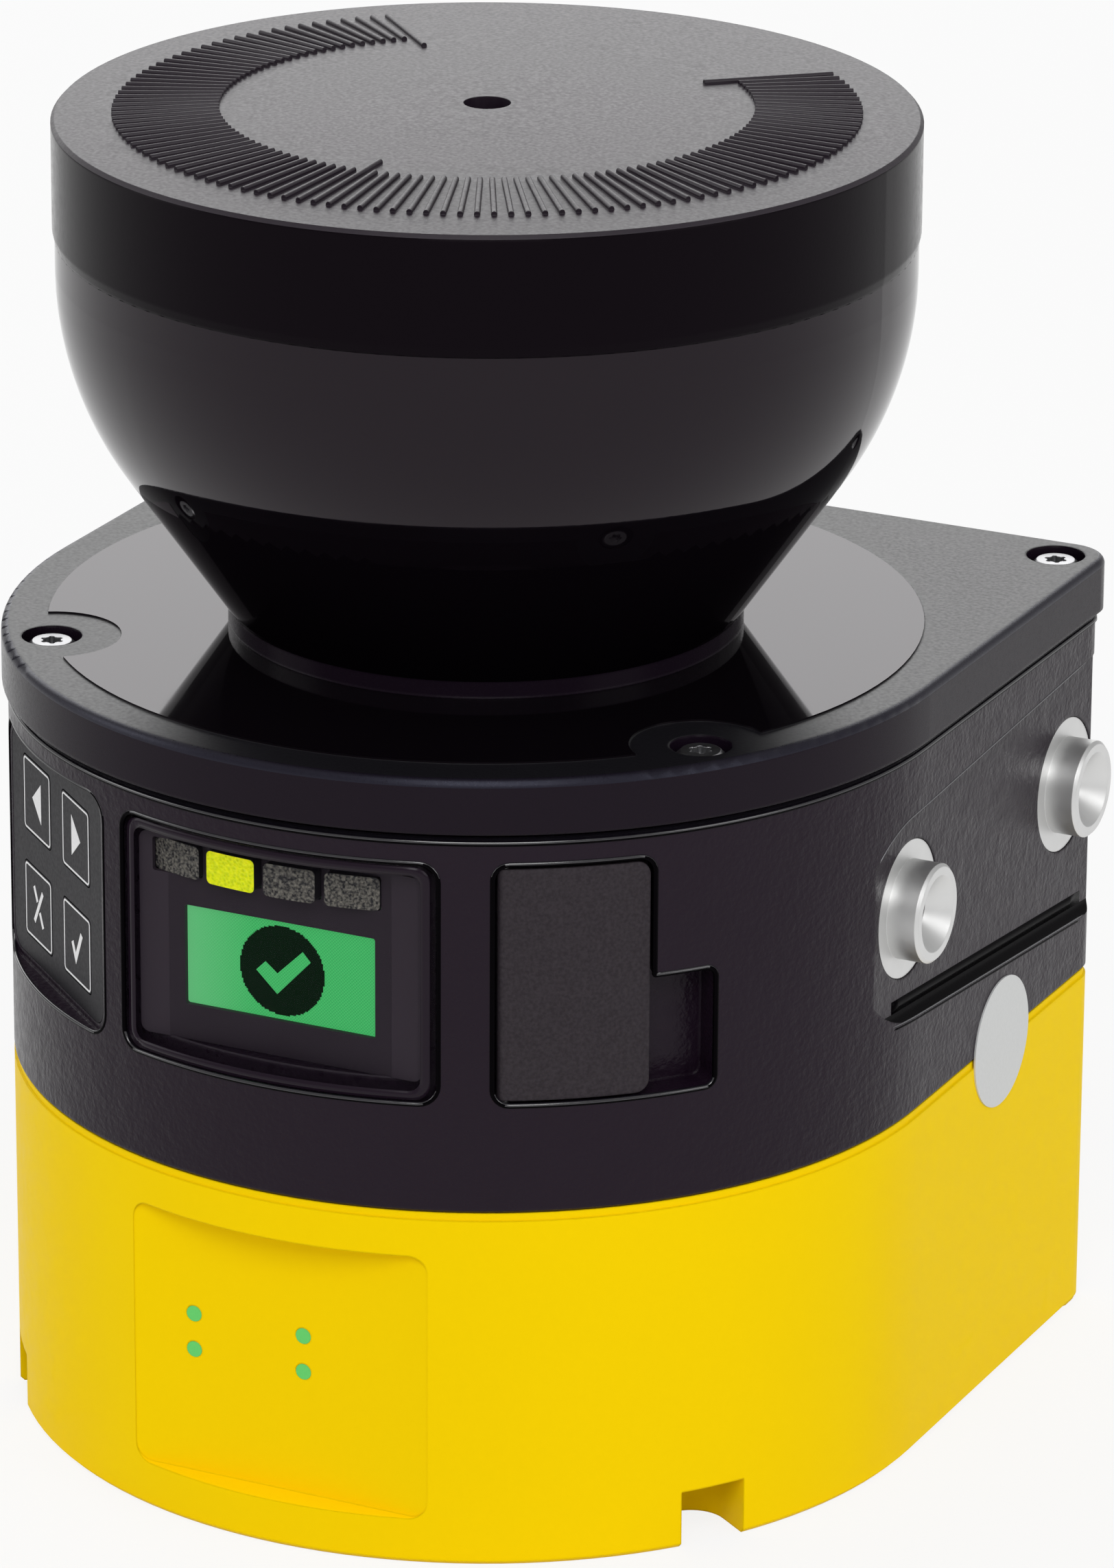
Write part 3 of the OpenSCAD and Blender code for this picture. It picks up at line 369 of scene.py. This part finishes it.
# The hood is polished above its flange, down to the raised disc
POLISHED, TOP, SIDE, ROUNDING, LOW_SHADE = range(5)
hood = nodes["optics_hood"].data
for mat in (matte_hood, hood_side, hood_round, gloss_shaded_low):
    hood.materials.append(mat)
HAIR = 0.00002
ROUNDING_H = 0.00125
NECK_TOP = 0.0035
LOW_SHADE_SLOPE = -0.57
RIM_X, RIM_Y = 0.0515, 0.03
flange_limit = housing_top + 0.0075
rim_levels = {round(v.co.z, 5) for v in hood.vertices if v.co.x > RIM_X and abs(v.co.y) < RIM_Y}
flange_top = max(z for z in rim_levels if z < flange_limit)
for face in hood.polygons:
    points = corners_of(hood, face)
    above = max(p.z for p in points) - flange_top
    below = min(p.z for p in points) - flange_top
    # Flange top stays satin; flange side and neck wall take the painted shade copy, the rounding the painted
    # highlight copy
    if above <= 0.00005:
        kind = TOP if below > -HAIR else ROUNDING if below > -ROUNDING_H else SIDE
    elif abs(face.normal.z) < 0.3 and below > 0.0001 and above < NECK_TOP:
        kind = SIDE
    # Faces turned down low on the bowl take the painted shade copy of the gloss
    elif below > 0.0015 and face.normal.z < LOW_SHADE_SLOPE:
        kind = LOW_SHADE
    else:
        kind = POLISHED
    face.material_index = kind


# ---------------------------------------------------------------- small pieces

def facing(angle, distance, height):
    """Frame on a plane that faces outwards: x runs right, y runs up, z runs outwards."""
    a = math.radians(angle)
    right = Vector((math.cos(a), math.sin(a), 0))
    out = Vector((math.sin(a), -math.cos(a), 0))
    up = Vector((0, 0, 1))
    m = Matrix((right, up, out)).transposed().to_4x4()
    m.translation = out * distance + up * height
    return m


def round_outline(w, h, r, steps=6):
    pts = []
    for cx, cy, start in ((w / 2 - r, h / 2 - r, 0), (-w / 2 + r, h / 2 - r, 90),
                          (-w / 2 + r, -h / 2 + r, 180), (w / 2 - r, -h / 2 + r, 270)):
        for k in range(steps + 1):
            a = math.radians(start + 90 * k / steps)
            pts.append((cx + r * math.cos(a), cy + r * math.sin(a)))
    return pts


def plate_mesh(name, outlines, thickness, matrix, body, mat):
    """Flat pieces cut from outlines in millimetres: each entry is (outer, [holes])."""
    bm = bmesh.new()
    for outer, holes in outlines:
        edges = []
        for loop in [outer, *holes]:
            vs = [bm.verts.new((x * MM, y * MM, thickness * MM)) for x, y in loop]
            edges += [bm.edges.new((vs[i], vs[(i + 1) % len(vs)])) for i in range(len(vs))]
        bmesh.ops.triangle_fill(bm, use_beauty=True, use_dissolve=False, edges=edges)
    top = bm.faces[:]
    bmesh.ops.recalc_face_normals(bm, faces=top)
    for f in top:
        if f.normal.z < 0:
            f.normal_flip()
    made = bmesh.ops.extrude_face_region(bm, geom=top)
    low = [g for g in made["geom"] if isinstance(g, bmesh.types.BMVert)]
    bmesh.ops.translate(bm, verts=low, vec=(0, 0, -thickness * MM))
    bmesh.ops.recalc_face_normals(bm, faces=bm.faces)
    bmesh.ops.transform(bm, matrix=matrix, verts=bm.verts)
    mesh = bpy.data.meshes.new(name)
    bm.to_mesh(mesh)
    bm.free()
    obj = bpy.data.objects.new(name, mesh)
    bpy.context.scene.collection.objects.link(obj)
    mesh.materials.append(mat)
    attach(obj, body)
    return obj


def stroke(points, width):
    """Outline of a bent line with square ends and a mitred corner."""
    left, right = [], []
    for i, (x, y) in enumerate(points):
        here = Vector((x, y))
        before = (here - Vector(points[max(i - 1, 0)])).normalized()
        after = (Vector(points[min(i + 1, len(points) - 1)]) - here).normalized()
        along = before + after
        bend = before.angle(after) if 0 < i < len(points) - 1 else 0.0
        n = Vector((-along.y, along.x)).normalized() * width / 2 / max(0.3, math.cos(bend / 2))
        left.append((x + n.x, y + n.y))
        right.append((x - n.x, y - n.y))
    return left + right[::-1]


def swept(name, loops, body, mat, under=None, ends=False):
    """Closed skin joining closed loops of points one after another, the last to the first or capped."""
    n = len(loops[0])
    verts = [p for loop in loops for p in loop]
    faces = []
    for i in range(len(loops) - (1 if ends else 0)):
        this, following = i * n, (i + 1) % len(loops) * n
        faces += [(this + k, this + (k + 1) % n, following + (k + 1) % n, following + k) for k in range(n)]
    if ends:
        faces += [tuple(range(n))[::-1], tuple(range(len(verts) - n, len(verts)))]
    mesh = bpy.data.meshes.new(name)
    mesh.from_pydata(verts, [], faces)
    bm = bmesh.new()
    bm.from_mesh(mesh)
    bmesh.ops.recalc_face_normals(bm, faces=bm.faces)
    for f in bm.faces:
        f.smooth = True
    bm.to_mesh(mesh)
    bm.free()
    obj = bpy.data.objects.new(name, mesh)
    bpy.context.scene.collection.objects.link(obj)
    mesh.materials.append(mat)
    # Faces not turned up take the under material: painted shade beneath a painted highlight
    if under:
        mesh.materials.append(under)
        for f in mesh.polygons:
            f.material_index = 0 if f.normal.z > 0.3 else 1
    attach(obj, body)
    return obj


def soft_path(corners, step=0.5):
    """Closed path through (x, y, corner radius) points in millimetres, cut into short steps."""
    pts = []
    for i, (x, y, r) in enumerate(corners):
        p = Vector((x, y))
        a = (Vector(corners[i - 1][:2]) - p).normalized()
        c = (Vector(corners[(i + 1) % len(corners)][:2]) - p).normalized()
        half = a.angle(c) / 2
        reach = r / math.tan(half)
        centre = p + (a + c).normalized() * (r / math.sin(half))
        start, end = p + a * reach - centre, p + c * reach - centre
        turns = max(6, round(r / 0.8))
        for k in range(turns + 1):
            t = start.angle(end) * k / turns
            v = (start * math.sin(start.angle(end) - t) + end * math.sin(t)) / math.sin(start.angle(end))
            pts.append(centre + v)
    out = []
    for i, p in enumerate(pts):
        q = pts[(i + 1) % len(pts)]
        cuts = max(1, round((q - p).length / step))
        out += [tuple(p.lerp(q, k / cuts)) for k in range(cuts)]
    return out


def wrapped(path, radius, angle, height):
    """A path of arc lengths and heights laid round the wall at a radius: all in millimetres."""
    out = []
    for s, z in path:
        t = math.radians(angle) + s / WALL_R
        out.append(Vector((radius * math.sin(t) * MM, -radius * math.cos(t) * MM, (height + z) * MM)))
    return out


def rod(name, points, thick, mat, under=None, sides=6):
    """Thin round line along open points in millimetres, pointed at its ends."""
    pts = [Vector(p) * MM for p in points]
    loops = []
    for k, p in enumerate(pts):
        along = (pts[min(k + 1, len(pts) - 1)] - pts[max(k - 1, 0)]).normalized()
        across = along.cross(Vector((0, 0, 1))).normalized()
        over = across.cross(along)
        r = thick * MM * (0.15 if k in (0, len(pts) - 1) else 1)
        loops.append([p + (across * math.cos(u) + over * math.sin(u)) * r
                      for u in (2 * math.pi * j / sides for j in range(sides))])
    return swept(name, loops, "scanner", mat, under, True)


def ring(name, centre, outward, across, thick, mat, slot, sides, under):
    """Round bead along a closed line: outward and across give its two radial directions."""
    loops = []
    for j in range(sides):
        u = 2 * math.pi * j / sides
        loop = []
        for k, p in enumerate(centre):
            along = (centre[(k + 1) % len(centre)] - centre[k - 1]).normalized()
            out = outward(p, along)
            loop.append(p + (out * math.cos(u) + across(out, along) * math.sin(u)) * thick * MM)
        loops.append(loop)
    return swept(name, loops, "scanner", mat, under)


def bead(name, corners, radius, angle, height, thick, mat, slot, sides=8, under=None):
    """Thin round bead along a path on the wall."""
    return ring(name, wrapped(soft_path(corners), radius, angle, height),
                lambda p, along: Vector((p.x, p.y, 0)).normalized(),
                lambda out, along: along.cross(out).normalized(), thick, mat, slot, sides, under)


def box_corners(half_w, half_h, r):
    return [(-half_w, -half_h, r), (half_w, -half_h, r), (half_w, half_h, r), (-half_w, half_h, r)]


def even(loop, n):
    """The same closed loop cut into n equal steps."""
    total = [0.0]
    for i, p in enumerate(loop):
        total.append(total[-1] + (loop[(i + 1) % len(loop)] - p).length)
    out, i = [], 0
    for k in range(n):
        d = total[-1] * k / n
        while total[i + 1] < d:
            i += 1
        f = (d - total[i]) / max(1e-9, total[i + 1] - total[i])
        out.append(loop[i].lerp(loop[(i + 1) % len(loop)], f))
    return out


# Thin round beads round the openings in the housing's wall: a glossier copy of the coat on their upper faces as a
# painted highlight, near-black below as painted shade
WALL_R = 55.3
PORT_ANGLE, KEY_ANGLE = 36.8, -41.0
EDGE = dict(mat=highlight_gloss, slot="black_paint", sides=10, under=painted_shade_black)
PORT_OUTLINE = [(-9.2, -14.3, 1.9), (16.75, -14.3, 1.3), (16.75, 0.1, 1.3),
                (9.2, 0.1, 0.15), (9.2, 14.3, 1.9), (-9.2, 14.3, 1.9)]
window_z = (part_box("display_window")[0].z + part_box("display_window")[1].z) / 2
opening_z = window_z / MM
bead("window_edge", box_corners(20.35, 14.3, 2.3), WALL_R - 0.12, 0, opening_z, 0.3, **EDGE)
bead("port_edge", PORT_OUTLINE, WALL_R - 0.12, PORT_ANGLE, opening_z, 0.32, **EDGE)
bead("keypad_edge", box_corners(15.95, 14.6, 3.0), WALL_R - 0.15, KEY_ANGLE, opening_z, 0.25, **EDGE)

# Painted highlights as thin grey lines along each side recess, on its upper edge and on the lip of the ledge below
# it, with painted shade under the lip and as a dark band on the recess floor just above it
BUSH_Y, RECESS_Z, RECESS_R = -1.2, 67.525, 12.425
RECESS_RISE, RECESS_FALL = math.radians(3.2), math.radians(5.4)
RECESS_START = math.radians(134)
RECESS_FLOOR_X = 54.3


def wall_x(y):
    return math.sqrt(WALL_R ** 2 - y * y) if y < 0 else WALL_R


def recess_top():
    """Upper edge of a side recess: round about the front bush, then rising to the rear."""
    points = []
    for k in range(15):
        t = RECESS_START + (math.pi / 2 + RECESS_RISE - RECESS_START) * k / 14
        points.append((BUSH_Y + RECESS_R * math.cos(t), RECESS_Z + RECESS_R * math.sin(t)))
    y0, z0 = points[-1]
    return points + [(y, z0 + (y - y0) * math.tan(RECESS_RISE)) for y in (5, 15, 25, 35, 45, 50)]


def ledge_lip():
    """Upper lip of the hollow ledge, which falls to the rear."""
    c, s = math.cos(RECESS_FALL), math.sin(RECESS_FALL)
    return [(BUSH_Y + v * c - RECESS_R * s, RECESS_Z - v * s - RECESS_R * c)
            for v in (-5, -3, -1, 1, 4, 10, 20, 30, 40, 50, 53)]


top, lip = recess_top(), ledge_lip()
for side, hand in ((1, "right"), (-1, "left")):
    def line_at(points, inset, drop):
        return [(side * (wall_x(y) - inset), y, z - drop) for y, z in points]

    # Grey rods: painted highlights; the dark rod under the lip: painted shade
    rod(f"recess_highlight_{hand}", line_at(top, 0.03, 0), 0.09, painted_highlight_line)
    rod(f"ledge_highlight_{hand}", line_at(lip, 0.06, 0.02), 0.12, painted_highlight_line, painted_shade_black)
    rod(f"ledge_shade_{hand}", line_at(lip, 0.2, 0.38), 0.28, painted_shade_black)
    # Dark band of painted shade on the recess floor above the lip
    foot = [[(side * (RECESS_FLOOR_X + t) * MM, y * MM, (z + h) * MM)
             for t, h in ((-0.05, 1.2), (0.03, 1.2), (0.03, 2.7), (-0.05, 2.7))] for y, z in lip[1:]]
    swept(f"ledge_shade_band_{hand}", foot, "scanner", painted_shade_black, None, True)

# Round bead along the housing's upper edge: a glossier copy of the coat on its upper faces as a painted highlight,
# near-black below as painted shade
SHOULDER_OUTLINE = [(-55.22, -55.22, 55.2), (55.22, -55.22, 55.2), (55.22, 54.52, 4.9), (-55.22, 54.52, 4.9)]
shoulder_z = (housing_top / MM - 0.62) * MM
shoulder = [Vector((x * MM, y * MM, shoulder_z)) for x, y in soft_path(SHOULDER_OUTLINE, 1.0)]
Z_AXIS = Vector((0, 0, 1))
ring("housing_shoulder", shoulder, lambda p, along: along.cross(Z_AXIS).normalized(),
     lambda out, along: Z_AXIS, 0.34, **EDGE)

# Opaque rim printed on the window's inner side, with a fine raised line, and the window's own dark border
def flat_ring(name, outer, inner, front_r, back_r, mat):
    """Thin curved frame between two rounded outlines: each is (half width, half height, corner radius)."""
    loops = [wrapped(soft_path(box_corners(*size)), r, 0, opening_z)
             for size, r in ((outer, front_r), (inner, front_r), (inner, back_r), (outer, back_r))]
    return swept(name, [even(loop, 240) for loop in loops], "scanner", mat)


flat_ring("window_rim", (19.6, 13.8, 1.4), (17.6, 12.0, 1.4), 53.24, 53.1, mask_black)
flat_ring("window_border", (19.42, 13.82, 1.85), (18.3, 12.75, 1.2), 55.24, 55.19, border_black)
bead("window_rim_line", box_corners(18.9, 12.9, 1.2), 53.2, 0, opening_z, 0.09, frame_black, "insulator", 6)

# Printed outlines and symbols on the keys, a hair proud of each key
KEY_FACE_R = 53.0
KEY_PITCH = 6.5
KEY_SIZE, KEY_CORNER, KEY_LINE = 8.7, 0.6, 0.22
keypad_z = (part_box("keypad_panel")[0].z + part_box("keypad_panel")[1].z) / 2
keys = {
    "previous": (-1, 1, [[(-1.55, 0), (1.35, 2.45), (1.35, -2.45)]]),
    "next": (1, 1, [[(1.55, 0), (-1.35, -2.45), (-1.35, 2.45)]]),
    "cancel": (-1, -1, [stroke([(-1.45, -2.15), (1.45, 2.15)], 0.6),
                        stroke([(-1.45, 2.15), (-0.37, 0.55)], 0.6),
                        stroke([(0.37, -0.55), (1.45, -2.15)], 0.6)]),
    "confirm": (1, -1, [stroke([(-1.55, 0.0), (-0.45, -1.75), (1.55, 1.75)], 0.72)]),
}
key_outer = round_outline(KEY_SIZE, KEY_SIZE, KEY_CORNER)
key_inner = round_outline(KEY_SIZE - 2 * KEY_LINE, KEY_SIZE - 2 * KEY_LINE, KEY_CORNER - KEY_LINE)[::-1]
for name, (column, row, symbol) in keys.items():
    local = (facing(KEY_ANGLE, KEY_FACE_R * MM, keypad_z)
             @ Matrix.Translation((column * KEY_PITCH * MM, row * KEY_PITCH * MM, 0)))
    plate_mesh(f"key_print_{name}", [(key_outer, [key_inner])] + [(outline, []) for outline in symbol], 0.03, local,
               f"key_{name}", print_grey)

# Dark mask between the window and the display, open at the screen and the lights
def rect(cx, cy, w, h, r=0.3):
    return [(cx + x, cy + y) for x, y in round_outline(w, h, r, 3)][::-1]


def seen_box(name):
    """Middle and size of a piece on the display's face, in millimetres about the window's middle."""
    lo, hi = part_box(name)
    return (lo.x + hi.x) / 2 / MM, ((lo.z + hi.z) / 2 - window_z) / MM, (hi.x - lo.x) / MM, (hi.z - lo.z) / MM


screen_x, screen_y, screen_w, screen_h = seen_box("lcd_panel")
lights = [seen_box(name) for name in numbered("light_lens", 4)]
screen_face = -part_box("lcd_panel")[0].y
on_screen = facing(0, screen_face + 0.00002, window_z)
holes = [rect(screen_x, screen_y, screen_w - 0.5, screen_h - 0.5)]
holes += [rect(x, y, w + 0.1, h + 0.1) for x, y, w, h in lights]
plate_mesh("display_mask", [(round_outline(35.4, 24.2, 1.1), holes)], 0.6, on_screen, "scanner", mask_black)


def frame_line(name, cx, cy, w, h, r, thick):
    """Fine raised line round an opening in the mask."""
    path = soft_path(box_corners(w / 2, h / 2, r), 2.0)
    loops = []
    for grow, rise in ((0, 0.0), (thick * 0.3, 0.1), (thick * 0.7, 0.1), (thick, 0.0)):
        kx, ky = 1 + 2 * grow / w, 1 + 2 * grow / h
        loops.append([on_screen @ Vector(((cx + x * kx) * MM, (cy + y * ky) * MM, rise * MM)) for x, y in path])
    return swept(name, loops, "scanner", frame_black)


frame_line("screen_frame", screen_x, screen_y, screen_w + 1.6, screen_h + 1.4, 0.5, 0.25)
for i, (x, y, w, h) in enumerate(lights, 1):
    frame_line(f"light_frame_{i}", x, y, w + 0.35, h + 0.35, 0.6, 0.2)


def dotted_disc(r, dot):
    """Outline of a disc in steps of one screen dot."""
    rows = round(r / dot)
    side = [round(math.sqrt(max(0.0, 1 - ((k + 0.5) / rows) ** 2)) * rows) for k in range(rows)]
    quarter = []
    for k, w in enumerate(side):
        for v in (k, k + 1):
            if not quarter or quarter[-1] != (w, v):
                quarter.append((w, v))
    quarter = [p for p in quarter if p[0] > 0]
    loop = (quarter + [(-x, y) for x, y in quarter[::-1]]
            + [(-x, -y) for x, y in quarter] + [(x, -y) for x, y in quarter[::-1]])
    out = []
    for x, y in loop:
        p = (x * dot, y * dot)
        if not out or out[-1] != p:
            out.append(p)
    return out[:-1] if out[0] == out[-1] else out


# Dark disc on the lit screen, cut out to a check mark
SCREEN_DISC_R, SCREEN_DOT, SCREEN_DISC_DROP = 5.3, 0.19, 0.15
tick = [(-3.3, -0.4), (-2.1, 0.8), (-0.6, -0.4), (2.6, 2.7), (3.6, 1.6), (-0.65, -2.9)]
plate_mesh("screen_disc", [(dotted_disc(SCREEN_DISC_R, SCREEN_DOT), [tick])], 0.02,
           facing(0, screen_face, window_z + (screen_y - SCREEN_DISC_DROP) * MM), "scanner", lcd_dark)


# ---------------------------------------------------------------- stage


# White floor: the object's shadow stays in its diffuse part
FLOOR_SIZE, FLOOR_GLOW = 12, 0.84
bpy.ops.mesh.primitive_plane_add(size=FLOOR_SIZE, location=(0, 0, 0))
floor = bpy.context.object
floor.name = "floor"
floor_white = bpy.data.materials.new("floor_white")
floor_white.use_nodes = True
tree = floor_white.node_tree
plain = shader(floor_white)
plain.inputs["Base Color"].default_value = (0.80, 0.80, 0.80, 1)
plain.inputs["Roughness"].default_value = 1.0
plain.inputs["Specular IOR Level"].default_value = 0.0
path = tree.nodes.new("ShaderNodeLightPath")
seen = path.outputs["Is Camera Ray"]
for other in ("Is Glossy Ray", "Is Transmission Ray"):
    either = tree.nodes.new("ShaderNodeMath")
    either.operation = "MAXIMUM"
    tree.links.new(seen, either.inputs[0])
    tree.links.new(path.outputs[other], either.inputs[1])
    seen = either.outputs["Value"]
share = tree.nodes.new("ShaderNodeMath")
share.operation = "MULTIPLY"
share.inputs[1].default_value = FLOOR_GLOW
tree.links.new(seen, share.inputs[0])
white = tree.nodes.new("ShaderNodeEmission")
white.inputs["Color"].default_value = (1, 1, 1, 1)
white.inputs["Strength"].default_value = 1.0
blend = tree.nodes.new("ShaderNodeMixShader")
tree.links.new(share.outputs["Value"], blend.inputs[0])
tree.links.new(plain.outputs[0], blend.inputs[1])
tree.links.new(white.outputs[0], blend.inputs[2])
tree.links.new(blend.outputs[0], tree.nodes["Material Output"].inputs["Surface"])
floor.data.materials.append(floor_white)

world = bpy.data.worlds.new("studio")
bpy.context.scene.world = world
world.use_nodes = True
background = world.node_tree.nodes["Background"]
background.inputs["Color"].default_value = (1, 1, 1, 1)
background.inputs["Strength"].default_value = 0.5


def lamp(name, where, target, size, power, size_y=None):
    data = bpy.data.lights.new(name, "AREA")
    data.shape = "RECTANGLE"
    data.size = size
    data.size_y = size_y or size
    data.energy = power
    o = bpy.data.objects.new(name, data)
    bpy.context.scene.collection.objects.link(o)
    o.location = where
    o.rotation_euler = (Vector(target) - Vector(where)).to_track_quat("-Z", "Y").to_euler()


lamp("rear_soft", (-1.09, 1.62, 0.92), (0, 0, 0.1), 2.0, 14.5, 1.25)
lamp("front_soft", (0.75, -1.5, 1.7), (0, 0, 0.05), 1.2, 21.0)
lamp("left_soft", (-1.3, -0.5, 0.7), (0, 0, 0.07), 0.7, 3.0)
lamp("right_soft", (1.3, -0.1, 0.7), (0, 0, 0.07), 0.7, 3.0)

# Camera at the photograph's viewing angle, with a long lens
AZIMUTH, ELEVATION, ROLL = math.radians(26.439), math.radians(19.776), math.radians(0.137)
DISTANCE = 0.96931
TARGET = Vector((0, 0, 0.080))
SENSOR, LENS = 36, 191.619886
SHIFT = (0.0454748, -0.0312823)
back = Vector((math.sin(AZIMUTH) * math.cos(ELEVATION), -math.cos(AZIMUTH) * math.cos(ELEVATION),
               math.sin(ELEVATION)))
level = Vector((math.cos(AZIMUTH), math.sin(AZIMUTH), 0))
over = back.cross(level)
right = math.cos(ROLL) * level + math.sin(ROLL) * over
up = math.cos(ROLL) * over - math.sin(ROLL) * level
cam_data = bpy.data.cameras.new("camera")
cam_data.sensor_width = SENSOR
cam_data.lens = LENS
cam_data.shift_x, cam_data.shift_y = SHIFT
cam_data.clip_start = 0.05
cam_data.clip_end = 50
cam = bpy.data.objects.new("camera", cam_data)
bpy.context.scene.collection.objects.link(cam)
placed = Matrix((right, up, back)).transposed().to_4x4()
placed.translation = TARGET + back * DISTANCE
cam.matrix_world = placed
bpy.context.scene.camera = cam

bpy.context.scene.view_settings.view_transform = "Standard"
